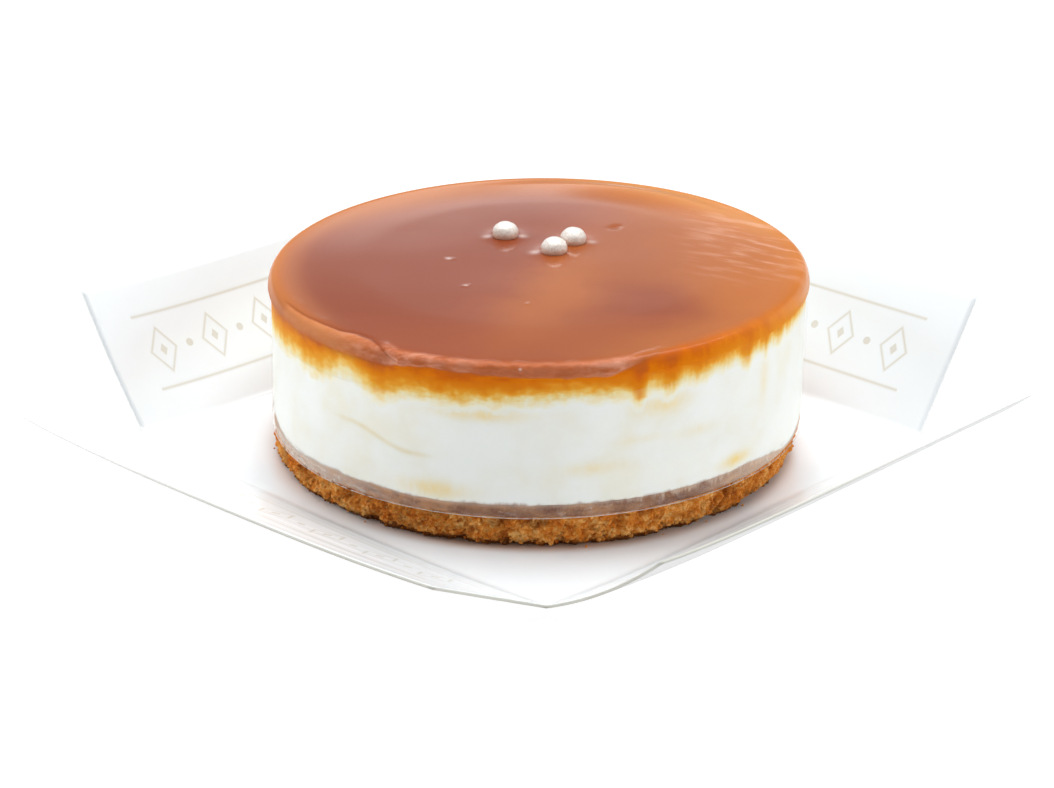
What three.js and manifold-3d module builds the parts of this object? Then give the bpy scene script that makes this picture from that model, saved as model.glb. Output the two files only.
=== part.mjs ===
import * as THREE from "three";
import { mergeVertices } from "three/addons/utils/BufferGeometryUtils.js";
import Module from "manifold-3d";

// A small round cheesecake with a caramel top, on the open card tray that it is served in.
// Millimetres, +Z up. The origin is under the middle of the tray's square base.

// Tray: one sheet of card, a square base with a flap folded up on each side
const traySide = 104.2;
const flapWidth = 29.4;
const cardThickness = 0.5;
const flatRadius = 46; // the base lies flat this far out, and its corners curl up beyond
const cornerLift = { left: 1.8, front: 1.6, right: 0, back: 0.4 };
const baseCells = 13;
const flapCells = 5;
// A flap's lean from the horizontal at the start and end of its crease, in degrees, and the
// extra lean that its card curls through from the crease to its outer edge. The sides go
// round counter-clockwise from +X.
const flaps = [
  { startLean: 25.1, endLean: 24.6, curl: 21 },
  { startLean: 55.6, endLean: 49, curl: 0 },
  { startLean: 46, endLean: 51.5, curl: 8.5 },
  { startLean: 22.7, endLean: 25.9, curl: 0 },
];

// Cake: its own front, -Y, faces a corner of the tray
const cakeX = 0.4;
const cakeY = 0.8;
const cakeTurn = 43.17; // degrees
const cakeColumns = 156;
const touchGap = 0.3; // between pieces that touch
const leanRight = 0.85; // the cake was set a little out of level, in degrees
const leanBack = 0.5;

// Band of clear film round the cake, its ends lapped at the back
const filmRadius = 50;
const filmThickness = 0.25;
const filmBottom = 6.8;
const filmTop = 32.8;
const filmLapAngle = 70; // degrees from the cake's +X
const filmLap = 14; // degrees of overlap
const filmStations = 100;

// Layers
const crustBottom = cardThickness + touchGap;
const crustFootRadius = 48.6;
const crustFootShift = -1.1; // the foot stands a little left of the layers above it
const crustTop = 9.8;
const crumbSize = 2.3;
const crumbDepth = 1.3;
const layerRadius = filmRadius - filmThickness - touchGap;
const creamMiddleTop = 31;
const caramelEdge = 29.2; // mean height of the caramel's lower edge, seen through the film
const caramelEdgeSlope = 2.1; // it is this much higher at the right than in the middle
const caramelTop = 36.2;
const caramelOverhang = 50.1; // the caramel swells out over the film's top edge

// Runs of caramel between the cream and the film: angle, depth and half width
const drips = [
  [-149, 0.8, 3], [-135, -1, 4], [-125, 2.6, 2.6], [-85, -0.9, 4], [-69.6, 3.2, 2],
  [-61.8, 1.4, 2.4], [-56, 2.2, 2], [-48, 0.8, 4], [-36, 2.9, 2], [-8, 2.4, 3], [16, 1.6, 4],
  [41, 3.4, 2.4], [58, -0.8, 5], [77, 2.2, 3], [104, 1.2, 5], [121, 3, 2.2], [152, 1.8, 4],
  [172, 2.6, 2.4],
];

// Sugar pearls pressed into the caramel
const pearlRadius = 2.4;
const pearlRise = 0.45; // of their middles above the caramel
const pearlDetail = 2;
const pearls = [[-6.4, 13.3], [2.8, 4.6], [6.4, 10.2]];

const degree = Math.PI / 180;
const fullTurn = 2 * Math.PI;
const wasm = await Module();
wasm.setup();

// A repeatable random number from 0 to 1 for each cell of a lattice.
function randomAt(column, row) {
  const value = Math.sin(column * 127.1 + row * 311.7) * 43758.5453;
  return value - Math.floor(value);
}

// Smooth noise from -1 to 1 over that lattice, which closes on itself after `period` columns.
function noise(x, y, period) {
  const column = Math.floor(x);
  const row = Math.floor(y);
  const [s, t] = [x - column, y - row].map((part) => part * part * (3 - 2 * part));
  const corner = (i, j) => randomAt((column + i + period) % period, row + j);
  const low = corner(0, 0) * (1 - s) + corner(1, 0) * s;
  const high = corner(0, 1) * (1 - s) + corner(1, 1) * s;
  return 2 * (low * (1 - t) + high * t) - 1;
}

function buildGeometry(positions, index) {
  const geometry = new THREE.BufferGeometry();
  geometry.setAttribute("position", new THREE.Float32BufferAttribute(positions, 3));
  geometry.setIndex(index);
  geometry.computeVertexNormals();
  return geometry;
}

// The cake leans more with height, and not at all at its foot.
function settle(x, y, height) {
  const share = Math.min(1, Math.max(0, height - crustBottom) / (filmBottom - crustBottom));
  const rise = x * Math.tan(leanRight * degree) + y * Math.tan(leanBack * degree);
  return [x, y, height + rise * share];
}

// A layer of the cake: rings go outwards along its underside, up its wall and in over its
// top, each giving [radius, height, sideways shift] at an angle, and a pole closes each end.
function layerSolid(rings, bottomPole, topPole) {
  const points = [settle(0, 0, bottomPole), settle(0, 0, topPole)];
  for (const ring of rings) {
    for (let column = 0; column < cakeColumns; column++) {
      const angle = (column / cakeColumns) * fullTurn;
      const [radius, height, shift = 0] = ring(angle);
      points.push(settle(radius * Math.cos(angle) + shift, radius * Math.sin(angle), height));
    }
  }
  const at = (ring, column) => 2 + ring * cakeColumns + (column % cakeColumns);
  const last = rings.length - 1;
  const index = [];
  for (let column = 0; column < cakeColumns; column++) {
    const beside = column + 1;
    index.push(0, at(0, beside), at(0, column), 1, at(last, column), at(last, beside));
    for (let ring = 0; ring < last; ring++) {
      const [a, b] = [at(ring, column), at(ring, beside)];
      const [c, d] = [at(ring + 1, beside), at(ring + 1, column)];
      // two layers that face each other are split along the same diagonals
      const widening = rings[ring + 1](0)[0] > rings[ring](0)[0];
      if (widening) index.push(a, b, d, b, c, d);
      else index.push(a, b, c, a, c, d);
    }
  }
  return buildGeometry(points.flat(), index);
}

// Crust: crumbly where it shows below the film, and pressed smooth behind the film.
function crustGeometry() {
  const crumbRows = 8;
  const bareTop = filmBottom - 0.2;
  const period = Math.round((fullTurn * layerRadius) / crumbSize);
  const crumbs = (angle, height) => {
    const along = (angle / fullTurn) * period;
    const coarse = noise(along, height / crumbSize + 40, period);
    const fine = noise(along * 2, (2 * height) / crumbSize, period * 2);
    return crumbDepth * (0.6 * coarse + 0.4 * fine);
  };
  const wallRow = (row) => (angle) => {
    const share = row / (crumbRows - 1);
    const height = crustBottom + share * (bareTop - crustBottom);
    const radius = crustFootRadius + (layerRadius - 0.4 - crustFootRadius) * share;
    const rough = row === 0 ? 0.4 : 1; // the foot's edge is worn more evenly
    return [
      Math.min(layerRadius, radius + rough * crumbs(angle, height)),
      height,
      crustFootShift * (1 - share),
    ];
  };
  const rings = [() => [crustFootRadius - 6, crustBottom, crustFootShift]];
  for (let row = 0; row < crumbRows; row++) rings.push(wallRow(row));
  rings.push(() => [layerRadius, filmBottom + 0.3]);
  rings.push(() => [layerRadius, crustTop]);
  rings.push(() => [layerRadius - 6, crustTop]);
  return layerSolid(rings, crustBottom, crustTop);
}

// Height at which cream and caramel meet behind the film.
function edgeHeight(angle) {
  const period = 40;
  const ripple = 0.35 * noise((angle / fullTurn) * period, 7, period);
  const dripped = drips.reduce((depth, [place, deep, half]) => {
    const turns = (angle / degree - place) / 360;
    const away = (turns - Math.round(turns)) * 360;
    return depth + deep * Math.exp(-((away / half) ** 2));
  }, 0);
  return caramelEdge + caramelEdgeSlope * Math.cos(angle) + ripple - dripped;
}

// The seam between cream and caramel rises from that edge to the cream's flat top.
const seamSteps = [[0, 0], [1.2, 0.45], [4, 0.85], [9, 1]];
function seamRing([inset, share], offset) {
  return (angle) => {
    const edge = edgeHeight(angle);
    return [layerRadius - inset, edge + share * (creamMiddleTop - edge) + offset];
  };
}

function creamGeometry() {
  const bottom = crustTop + touchGap;
  const rings = [() => [layerRadius - 6, bottom], () => [layerRadius, bottom]];
  rings.push(() => [layerRadius, (bottom + caramelEdge - 8) / 2]);
  for (const step of seamSteps) rings.push(seamRing(step, -touchGap));
  return layerSolid(rings, bottom, creamMiddleTop - touchGap);
}

// The caramel's top: a low lip runs round just inside the rim, uneven as it set.
function caramelShell() {
  const rings = [...seamSteps].reverse().map((step) => seamRing(step, 0));
  rings.push(() => [layerRadius, filmTop + touchGap]);
  rings.push(() => [caramelOverhang - 0.1, filmTop + touchGap + 0.1]);
  const rim = [[0, 1.3, 0.1], [0.5, 2.4, 0.25], [1.6, 3.2, 0.35], [3.2, 3.5, 0.3]];
  const period = 24;
  for (const [inset, rise, wander] of rim) {
    rings.push((angle) => {
      const swell = wander * noise((angle / fullTurn) * period, 3, period);
      return [caramelOverhang - inset + 0.4 * Math.min(0, swell), filmTop + rise + swell];
    });
  }
  rings.push(() => [43, caramelTop], () => [24, caramelTop]);
  return layerSolid(rings, creamMiddleTop, caramelTop);
}

function toManifold(geometry) {
  const bare = new THREE.BufferGeometry();
  const source = geometry.index ? geometry.toNonIndexed() : geometry;
  bare.setAttribute("position", source.getAttribute("position"));
  const merged = mergeVertices(bare, 1e-3);
  return new wasm.Manifold(
    new wasm.Mesh({
      numProp: 3,
      vertProperties: merged.attributes.position.array,
      triVerts: new Uint32Array(merged.index.array),
    }),
  );
}

function caramelGeometry() {
  let solid = toManifold(caramelShell());
  for (const [x, y] of pearls) {
    const pearl = new THREE.IcosahedronGeometry(pearlRadius, pearlDetail);
    pearl.translate(...settle(x, y, caramelTop + pearlRise));
    solid = solid.add(toManifold(pearl));
  }
  const { vertProperties, triVerts } = solid.getMesh();
  return buildGeometry([...vertProperties], [...triVerts]);
}

// Film: a strip wound once round the cake and past its own start, which it lies over.
function filmGeometry() {
  const points = [];
  const sweep = 360 + filmLap;
  const rampStart = 360 - filmLap;
  for (let station = 0; station <= filmStations; station++) {
    const along = (station / filmStations) * sweep;
    const angle = (filmLapAngle + along) * degree;
    const lifted = THREE.MathUtils.smoothstep(along, rampStart, 360);
    const outer = filmRadius + lifted * (filmThickness + touchGap);
    for (const [radius, height] of [
      [outer - filmThickness, filmBottom],
      [outer, filmBottom],
      [outer, filmTop],
      [outer - filmThickness, filmTop],
    ])
      points.push(settle(radius * Math.cos(angle), radius * Math.sin(angle), height));
  }
  const index = [0, 1, 2, 0, 2, 3];
  for (let station = 0; station < filmStations; station++) {
    for (let side = 0; side < 4; side++) {
      const near = [4 * station + side, 4 * station + ((side + 1) % 4)];
      const far = near.map((corner) => corner + 4);
      index.push(near[0], far[1], near[1], near[0], far[0], far[1]);
    }
  }
  const end = 4 * filmStations;
  index.push(end, end + 2, end + 1, end, end + 3, end + 2);
  return buildGeometry(points.flat(), index);
}

// The ways that the tray's sides face.
const outward = [[1, 0], [0, 1], [-1, 0], [0, -1]];

// Tray base: flat under the cake, with its corners curled up.
function baseHeight(x, y) {
  const half = traySide / 2;
  const beyond = Math.max(0, Math.hypot(x, y) - flatRadius) / (Math.SQRT2 * half - flatRadius);
  const [right, back] = [x, y].map((part) => 0.5 + part / traySide);
  const front = cornerLift.left * (1 - right) + cornerLift.front * right;
  const rear = cornerLift.back * (1 - right) + cornerLift.right * right;
  return (front * (1 - back) + rear * back) * beyond ** 2;
}

// Where a point of the flat blank comes to lie once the flaps are folded up.
function foldPoint(x, y) {
  const half = traySide / 2;
  const side = outward.findIndex(([dx, dy]) => x * dx + y * dy > half + 1e-6);
  if (side < 0) return new THREE.Vector3(x, y, baseHeight(x, y) + cardThickness);
  const [dx, dy] = outward[side];
  const out = x * dx + y * dy - half;
  const [creaseX, creaseY] = [x - out * dx, y - out * dy];
  const along = 0.5 + (creaseY * dx - creaseX * dy) / traySide;
  const { startLean, endLean, curl } = flaps[side];
  // the chord from the crease leans by half of what the card has curled through
  const curled = (curl * out) / (2 * flapWidth);
  const lean = (startLean + (endLean - startLean) * along + curled) * degree;
  const reach = out * Math.cos(lean);
  const height = baseHeight(creaseX, creaseY) + cardThickness + out * Math.sin(lean);
  return new THREE.Vector3(creaseX + reach * dx, creaseY + reach * dy, height);
}

function trayGeometry() {
  const half = traySide / 2;
  const lines = [];
  for (let i = 0; i < flapCells; i++) lines.push(-half - flapWidth * (1 - i / flapCells));
  for (let i = 0; i < baseCells; i++) lines.push(-half + (traySide * i) / baseCells);
  for (let i = 0; i <= flapCells; i++) lines.push(half + (flapWidth * i) / flapCells);
  const inBase = (cell) => cell >= flapCells && cell < flapCells + baseCells;
  const points = [];
  const numbers = new Map();
  const pointNumber = (i, j) => {
    const key = i + "," + j;
    if (!numbers.has(key)) {
      numbers.set(key, points.length);
      points.push(foldPoint(lines[i], lines[j]));
    }
    return numbers.get(key);
  };
  const faces = [];
  for (let i = 0; i < lines.length - 1; i++) {
    for (let j = 0; j < lines.length - 1; j++) {
      if (!inBase(i) && !inBase(j)) continue;
      const [a, b] = [pointNumber(i, j), pointNumber(i + 1, j)];
      const [c, d] = [pointNumber(i + 1, j + 1), pointNumber(i, j + 1)];
      faces.push([a, b, c], [a, c, d]);
    }
  }
  return thickSheet(points, faces, cardThickness);
}

// Gives a sheet its thickness below the given points, and walls round its open edges.
function thickSheet(points, faces, thickness) {
  const flat = points.flatMap((point) => point.toArray());
  const normals = buildGeometry(flat, faces.flat()).getAttribute("normal");
  const under = points.map((point, i) =>
    point.clone().addScaledVector(new THREE.Vector3().fromBufferAttribute(normals, i), -thickness),
  );
  const count = points.length;
  const edges = new Map();
  const index = [];
  for (const face of faces) {
    index.push(...face, ...[...face].reverse().map((corner) => corner + count));
    face.forEach((start, k) => {
      const end = face[(k + 1) % 3];
      if (!edges.delete(end + "," + start)) edges.set(start + "," + end, [start, end]);
    });
  }
  for (const [start, end] of edges.values())
    index.push(start, start + count, end + count, start, end + count, end);
  return buildGeometry([...flat, ...under.flatMap((point) => point.toArray())], index);
}

function addPiece(parent, name, geometry, look) {
  const piece = new THREE.Mesh(geometry, new THREE.MeshStandardMaterial(look));
  piece.name = name;
  parent.add(piece);
}

const cheesecake = new THREE.Group();
addPiece(cheesecake, "card_tray", trayGeometry(), { color: 0xf5f3f0, roughness: 0.3 });

const cake = new THREE.Group();
cake.position.set(cakeX, cakeY, 0);
cake.rotation.z = cakeTurn * degree;
cheesecake.add(cake);
addPiece(cake, "biscuit_crust", crustGeometry(), { color: 0xb27a3e, roughness: 0.85 });
addPiece(cake, "cream_layer", creamGeometry(), { color: 0xf2f0e9, roughness: 0.5 });
addPiece(cake, "caramel_topping", caramelGeometry(), { color: 0xc07a4a, roughness: 0.15 });
const clearFilm = { color: 0xffffff, roughness: 0.1, transparent: true, opacity: 0.2 };
addPiece(cake, "film_collar", filmGeometry(), clearFilm);

export default cheesecake;
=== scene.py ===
import functools
import math
import random
import bmesh
import bpy
from mathutils import Matrix, Vector, noise


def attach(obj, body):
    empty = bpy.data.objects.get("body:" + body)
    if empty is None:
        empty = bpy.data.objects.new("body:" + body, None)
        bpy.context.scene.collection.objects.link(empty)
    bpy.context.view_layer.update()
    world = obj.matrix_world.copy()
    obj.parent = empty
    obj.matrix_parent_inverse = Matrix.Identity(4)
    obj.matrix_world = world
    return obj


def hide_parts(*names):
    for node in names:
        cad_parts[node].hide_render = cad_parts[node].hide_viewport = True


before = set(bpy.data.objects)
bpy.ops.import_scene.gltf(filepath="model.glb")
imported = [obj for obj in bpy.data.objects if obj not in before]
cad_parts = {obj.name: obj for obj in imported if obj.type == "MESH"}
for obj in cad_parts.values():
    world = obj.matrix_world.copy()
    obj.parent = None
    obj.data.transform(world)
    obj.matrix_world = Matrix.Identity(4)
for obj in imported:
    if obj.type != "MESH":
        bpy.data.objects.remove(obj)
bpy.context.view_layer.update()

# A small round caramel cheesecake on its open card tray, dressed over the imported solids.
# Shapes are worked out in millimetres in the cake's own frame, whose front faces the
# photograph, and are placed in metres as each piece is finished.

degree = math.pi / 180
millimetre = 0.001

cakeSetup = {"x": 0.4, "y": 0.8, "turn": 43.17, "leanRight": 0.85, "leanBack": 0.5}
cakePlace = (
    Matrix.Translation((cakeSetup["x"] * millimetre, cakeSetup["y"] * millimetre, 0))
    @ Matrix.Rotation(cakeSetup["turn"] * degree, 4, "Z")
    @ Matrix.Scale(millimetre, 4)
)
trayPlace = Matrix.Scale(millimetre, 4)

cakeSize = {
    "filmRadius": 50.0,
    "filmBottom": 6.8,
    "filmTop": 32.8,
    "layerRadius": 49.6,
    "crustBottom": 0.6,
    "crustTop": 9.6,
    "seamTop": 31.0,
    "caramelEdge": 29.2,
    "caramelEdgeSlope": 2.1,
    "caramelTop": 36.2,
}


cameraSetup = {
    "azimuth": 43.17,
    "elevation": 22.6,
    "distance": 0.55295,
    "roll": 0.44,
    "target": (-0.00103, -0.00057, 0.00944),
    "lens": 100,
}


def addCamera():
    data = bpy.data.cameras.new("photoCamera")
    data.lens = cameraSetup["lens"]
    data.sensor_width = 36
    data.clip_start = 0.01
    camera = bpy.data.objects.new("photoCamera", data)
    bpy.context.scene.collection.objects.link(camera)
    turned = (
        Matrix.Rotation(cameraSetup["azimuth"] * degree, 4, "Z")
        @ Matrix.Rotation((90 - cameraSetup["elevation"]) * degree, 4, "X")
    )
    back = turned @ Vector((0, 0, cameraSetup["distance"]))
    camera.matrix_world = (
        Matrix.Translation(Vector(cameraSetup["target"]) + back)
        @ turned
        @ Matrix.Rotation(cameraSetup["roll"] * degree, 4, "Z")
    )
    bpy.context.scene.camera = camera


class Wire:  # a socket that takes part in expressions
    def __init__(self, shader, socket):
        self.shader = shader
        self.socket = socket

    def math(self, operation, *values):
        return self.shader.node("Math", {"operation": operation}, values)

    def __add__(self, other):
        return self.math("ADD", self, other)

    def __radd__(self, other):
        return self.math("ADD", other, self)

    def __sub__(self, other):
        return self.math("SUBTRACT", self, other)

    def __rsub__(self, other):
        return self.math("SUBTRACT", other, self)

    def __mul__(self, other):
        return self.math("MULTIPLY", self, other)

    def __rmul__(self, other):
        return self.math("MULTIPLY", other, self)

    def __truediv__(self, other):
        return self.math("DIVIDE", self, other)

    def __pow__(self, other):
        return self.math("POWER", self, other)

    def call(self, operation, *others):
        return self.math(operation, self, *others)

    def above(self, low, high):  # 0 below low, 1 above high, smooth between
        settings = {"interpolation_type": "SMOOTHSTEP"}
        return self.shader.node("MapRange", settings, (self, low, high, 0, 1))

    def hump(self, place, half):  # a bell of that half width
        away = (self - place) / half
        return (away * away * -1).call("EXPONENT")


class Shader:
    def __init__(self, name, kind="material"):
        holder = bpy.data.materials.new(name) if kind == "material" else bpy.data.worlds.new(name)
        holder.use_nodes = True
        self.holder = holder
        self.tree = holder.node_tree
        self.tree.nodes.clear()

    def node(self, kind, settings=None, values=(), output=0):
        made = self.tree.nodes.new("ShaderNode" + kind)
        for key, value in (settings or {}).items():
            if key == "stops":
                self.setStops(made.color_ramp, value)
            else:
                setattr(made, key, value)
        pairs = values.items() if isinstance(values, dict) else enumerate(values)
        for key, value in pairs:
            if isinstance(value, Wire):
                self.tree.links.new(value.socket, made.inputs[key])
            elif value is not None:
                made.inputs[key].default_value = value
        return Wire(self, made.outputs[output]) if made.outputs else made

    def setStops(self, ramp, stops):
        while len(ramp.elements) < len(stops):
            ramp.elements.new(1)
        for element, (place, colour) in zip(ramp.elements, stops):
            element.position = place
            element.color = (*colour, 1)

    def finish(self, surface, kind="Material"):
        self.node("Output" + kind, {}, {"Surface": surface})
        return self.holder

    def principled(self, sockets):
        return self.node("BsdfPrincipled", {}, sockets)

    def colour(self, factor, first, second):
        values = {0: factor, 6: self.opaque(first), 7: self.opaque(second)}
        return self.node("Mix", {"data_type": "RGBA"}, values, 2)

    def opaque(self, colour):
        return (*colour, 1) if isinstance(colour, tuple) else colour

    def attribute(self, name):
        return self.node("Attribute", {"attribute_name": name}, (), 2)

    def ramp(self, factor, stops):
        return self.node("ValToRGB", {"stops": stops}, (factor,))

    def noise(self, vector, scale, detail=3, rough=0.5, stretch=None):
        if stretch:
            vector = self.node("VectorMath", {"operation": "MULTIPLY"}, (vector, stretch))
        sockets = {"Vector": vector, "Scale": scale, "Detail": detail, "Roughness": rough}
        return self.node("TexNoise", {}, sockets)

    def near(self, vector, place, half):  # 1 at a place, fading to 0 round it
        away = self.node("VectorMath", {"operation": "DISTANCE"}, (vector, place), 1)
        return away.hump(0, half)

    def cells(self, vector, scale, output=0):
        return self.node("TexVoronoi", {}, {"Vector": vector, "Scale": scale}, output)

    def bump(self, height, distance, strength=1.0, normal=None):
        sockets = {"Height": height, "Distance": distance, "Strength": strength, "Normal": normal}
        return self.node("Bump", {}, sockets)

    def cakeSpot(self):  # millimetres in the cake's frame
        spot = self.node("TexCoord", {}, (), 3)
        sockets = {
            "Vector": spot,
            "Location": (cakeSetup["x"] * millimetre, cakeSetup["y"] * millimetre, 0),
            "Rotation": (0, 0, cakeSetup["turn"] * degree),
            "Scale": (millimetre, millimetre, millimetre),
        }
        return self.node("Mapping", {"vector_type": "TEXTURE"}, sockets)

    def tilted(self, vector, angle):  # turned about the upright axis
        sockets = {"Vector": vector, "Angle": angle * degree}
        return self.node("VectorRotate", {"rotation_type": "Z_AXIS"}, sockets)

    def dot(self, vector, other):
        return self.node("VectorMath", {"operation": "DOT_PRODUCT"}, (vector, other), 1)

    def parts(self, vector, axes):  # one socket for each letter of axes
        self.node("SeparateXYZ", {}, (vector,))
        split = self.tree.nodes[-1]
        return [Wire(self, split.outputs[axis]) for axis in axes]


def srgb(red, green, blue):  # a colour as a picture shows it, in 255ths, made linear
    def linear(value):
        value /= 255
        return value / 12.92 if value < 0.04045 else ((value + 0.055) / 1.055) ** 2.4
    return (linear(red), linear(green), linear(blue))


def smoothstep(value, low, high):
    share = min(1, max(0, (value - low) / (high - low)))
    return share * share * (3 - 2 * share)


def bell(value, half):  # 1 at zero, fading out either side over that half width
    return math.exp(-(value / half) ** 2)


def turnsFrom(angle, place):  # degrees from place to angle, the short way round
    return (angle / degree - place + 180) % 360 - 180


def lobes(angle, table):  # the table gives the angle, depth and half width of each
    return sum(deep * bell(turnsFrom(angle, place), half) for place, deep, half in table)


def ringSpot(angle, height, radius=50):  # where the noise round the wall is read
    return Vector((radius * math.cos(angle), radius * math.sin(angle), height))


def between(table, value):  # along the straight lines that join the table's points
    for (low, first), (high, second) in zip(table, table[1:]):
        if value < high:
            return first + (second - first) * max(0, value - low) / (high - low)
    return table[-1][1]


def settle(x, y, height):  # the cake was set a little out of level
    low = cakeSize["crustBottom"]
    share = min(1, max(0, (height - low) / (cakeSize["filmBottom"] - low)))
    rise = x * math.tan(cakeSetup["leanRight"] * degree)
    rise += y * math.tan(cakeSetup["leanBack"] * degree)
    return Vector((x, y, height + rise * share))


def finePath(corners, step):  # the corners, with points between them no further apart than step
    path = [Vector(corners[0])]
    for end in corners[1:]:
        start = path[-1]
        pieces = max(1, math.ceil((Vector(end) - start).length / step))
        path += [start.lerp(Vector(end), i / pieces) for i in range(1, pieces + 1)]
    return path


def rollProfile(profile, columns, shape, attributes=()):
    # A grid rolled into a ring: one column for each step round, one row for each profile point.
    # The shape function gives each point's radius and height, then the values of the attributes.
    bm = bmesh.new()
    rows = len(profile) - 1
    bmesh.ops.create_grid(bm, x_segments=columns, y_segments=rows, size=0.5)
    layers = [bm.verts.layers.float.new(name) for name in attributes]
    for vert in bm.verts:
        column = round((vert.co.x + 0.5) * columns) % columns
        angle = (column / columns * 2 - 1) * math.pi
        radius, height, *values = shape(*profile[round((vert.co.y + 0.5) * rows)], angle)
        vert.co = settle(radius * math.cos(angle), radius * math.sin(angle), height)
        for layer, value in zip(layers, values):
            vert[layer] = value
    bmesh.ops.remove_doubles(bm, verts=bm.verts, dist=0.0005)
    return bm


def finishPiece(bm, name, material, place=cakePlace, smooth=True, outward=True, corner=180):
    bmesh.ops.transform(bm, matrix=place, verts=bm.verts)
    if outward:
        bmesh.ops.recalc_face_normals(bm, faces=bm.faces)
    for edge in bm.edges:
        edge.smooth = edge.calc_face_angle(0) < corner * degree
    mesh = bpy.data.meshes.new(name)
    bm.to_mesh(mesh)
    bm.free()
    mesh.materials.append(material)
    for polygon in mesh.polygons:
        polygon.use_smooth = smooth
    piece = bpy.data.objects.new(name, mesh)
    bpy.context.scene.collection.objects.link(piece)
    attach(piece, "root")
    return piece


crustSetup = {
    "footRadius": 48.7,
    "footShift": -1.1,
    "columns": 1300,
    "rowStep": 0.24,
    "filmInset": 0.6,  # how far the crust stands behind the film's lower edge
    "chips": [(2.5, 0.34), (1.1, 0.36), (0.55, 0.24)],  # size and depth of the broken crumb
    "chipLift": 0.75,
    "cleftWidth": 0.16,
    "cleftDepth": 0.55,
    "hollowDepth": 0.8,
    "crackAngle": -45,
    "crackWidth": 0.9,
    "crackDepth": 2,
    "gap": 0.02,  # between the crust and the cream
    "crumbs": 900,
    "crumbSizes": (0.2, 0.26, 0.34, 0.46),
    "looseCrumbs": 16,
    "seed": 7,
}


def crustRelief(angle, height):
    spot = ringSpot(angle, height * 1.15)
    shifts = [Vector((shift, 0, 0)) for shift in (0, 7, 13)]
    bent = spot + 0.45 * Vector([noise.noise(spot / 1.6 + shift) for shift in shifts])
    relief = 0
    # each chip lies at its own depth, with a cleft round it
    for size, depth in crustSetup["chips"]:
        distances, points = noise.voronoi(bent / size)
        cleft = bell(distances[1] - distances[0], crustSetup["cleftWidth"])
        lift = crustSetup["chipLift"] * noise.cell(points[0] * 5.3)
        relief += depth * (lift - crustSetup["cleftDepth"] * cleft)
    hollow = smoothstep(noise.noise(spot / 4.5 + Vector((9, 2, 4))), 0.1, 0.4)
    crackPlace = crustSetup["crackAngle"] + (height - 5) * 0.8
    crack = bell(turnsFrom(angle, crackPlace), crustSetup["crackWidth"])
    return relief - crustSetup["hollowDepth"] * hollow - crustSetup["crackDepth"] * crack


def crustRadius(angle, height):
    foot, film = cakeSize["crustBottom"], cakeSize["filmBottom"]
    share = min(1, (height - foot) / (film - foot))
    footRadius = crustSetup["footRadius"]
    filmRadius = cakeSize["layerRadius"] - crustSetup["filmInset"]
    radius = footRadius + (filmRadius - footRadius) * share
    foothold = 1 - smoothstep(share, 0, 0.3)  # the lowest crumbs draw in
    bare = 1 - smoothstep(height, filmLow(angle) - 0.4, filmLow(angle))
    return radius + bare * (crustRelief(angle, height) - foothold) + (1 - bare) * 0.5


def crustShape(radius, height, angle):
    outer, top = cakeSize["layerRadius"], creamFoot(angle) - crustSetup["gap"]
    reach = min(outer, crustRadius(angle, height))
    onWall = smoothstep(radius, outer - 8, outer)
    height = top if height > cakeSize["crustTop"] - 0.01 else min(height, top)
    # how deep a point lies in the crust's relief, for the painted shade in its clefts
    depth = smoothstep(-crustRelief(angle, height), 0, 1.1) * onWall
    radius += (reach - outer) * onWall
    return radius, height, height - filmLow(angle), depth, creamFoot(angle) - height


def shiftFoot(bm):  # the foot stands a little left of the layers above
    for vert in bm.verts:
        vert.co.x += crustSetup["footShift"] * max(0, 1 - vert.co.z / cakeSize["filmBottom"])


def makeCrust(material):
    outer = cakeSize["layerRadius"]
    foot, top = cakeSize["crustBottom"], cakeSize["crustTop"]
    wall = finePath([(outer - 2.5, foot), (outer, foot), (outer, top)], crustSetup["rowStep"])
    profile = [(0, foot), (outer - 8, foot), *wall, (outer - 3, top), (0, top)]
    bm = rollProfile(profile, crustSetup["columns"], crustShape, ("rise", "depth", "under"))
    shiftFoot(bm)
    return finishPiece(bm, "crustWall", material)


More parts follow.
